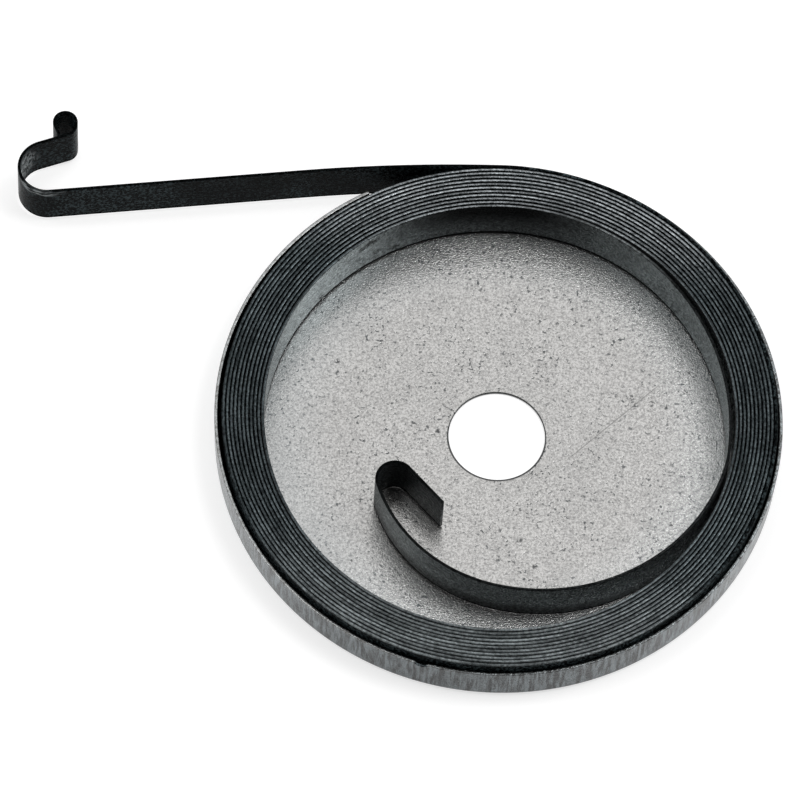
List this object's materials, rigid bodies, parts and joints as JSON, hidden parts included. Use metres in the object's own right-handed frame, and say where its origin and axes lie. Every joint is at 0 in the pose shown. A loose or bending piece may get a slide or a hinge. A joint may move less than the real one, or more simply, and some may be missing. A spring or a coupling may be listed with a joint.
{
  "type": "recoil starter spring",
  "caption": "Flat spiral recoil spring in a shallow pressed cup, with a hooked outer tail and an inner hub hook.",
  "frame": {"origin": "centre of the cup's hole on the cup's underside", "axes": "+Z along the coil's axis, out of the cup's open side; +Y towards the side where the outer tail leaves the coil; the tail runs towards -X"},
  "size_m": [0.1146, 0.0826, 0.0089],
  "materials": {
    "blued_steel": "blued, semi-gloss",
    "zinc_steel": "zinc plated, satin"
  },
  "bodies": {
    "root": {"recoil_spring": "blued_steel", "spring_cup": "zinc_steel"}
  },
  "joints": []
}
